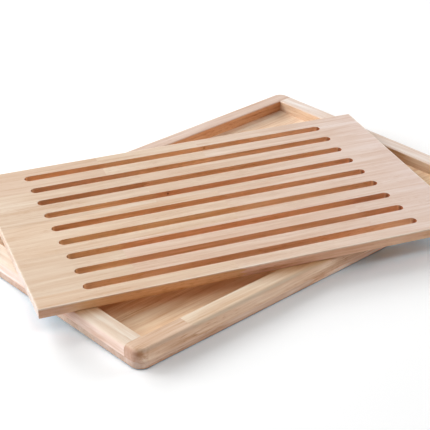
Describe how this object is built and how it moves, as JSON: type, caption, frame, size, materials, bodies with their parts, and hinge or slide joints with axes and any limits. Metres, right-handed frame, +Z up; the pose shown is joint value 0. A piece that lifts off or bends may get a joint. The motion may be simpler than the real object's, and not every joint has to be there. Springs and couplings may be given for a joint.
{
  "type": "bread board",
  "caption": "Low wooden crumb tray with a raised rim, and a slotted wooden cutting grid that lies turned across the rim and lifts off.",
  "frame": {"origin": "the middle of the tray's underside, on the surface it stands on", "axes": "+Z up; +X along the grid's slots; the tray is turned 21.16 degrees anticlockwise from them, seen from above, as it lies in the picture"},
  "size_m": [0.5508, 0.461, 0.0298],
  "materials": {
    "tray_wood": "pale rubberwood, sanded and lightly oiled, satin",
    "grid_wood": "pale rubberwood, sanded and lightly oiled, satin"
  },
  "bodies": {
    "tray": {"floor_stave_1_left": "tray_wood", "floor_stave_1_right": "tray_wood", "floor_stave_2_left": "tray_wood", "floor_stave_2_right": "tray_wood", "floor_stave_3_left": "tray_wood", "floor_stave_3_middle": "tray_wood", "floor_stave_3_right": "tray_wood", "floor_stave_4_left": "tray_wood", "floor_stave_4_right": "tray_wood", "floor_stave_5_left": "tray_wood", "floor_stave_5_right": "tray_wood", "front_rail_left": "tray_wood", "front_rail_right": "tray_wood", "back_rail_left": "tray_wood", "back_rail_right": "tray_wood", "left_rail": "tray_wood", "right_rail": "tray_wood"},
    "grid": {"grid_stave_1_left": "grid_wood", "grid_stave_1_right": "grid_wood", "grid_stave_2_left": "grid_wood", "grid_stave_2_middle_strip_1": "grid_wood", "grid_stave_2_middle_strip_2": "grid_wood", "grid_stave_2_middle_strip_3": "grid_wood", "grid_stave_2_right": "grid_wood", "grid_stave_3_left": "grid_wood", "grid_stave_3_right": "grid_wood", "grid_stave_4_left": "grid_wood", "grid_stave_4_right": "grid_wood", "grid_stave_5_left": "grid_wood", "grid_stave_5_middle_strip_1": "grid_wood", "grid_stave_5_middle_strip_2": "grid_wood", "grid_stave_5_right": "grid_wood"}
  },
  "joints": [
    {"name": "grid_lift", "type": "slide", "parent": "tray", "child": "grid", "axis": [0, 0, 1], "range_m": [0, 0.1]}
  ]
}
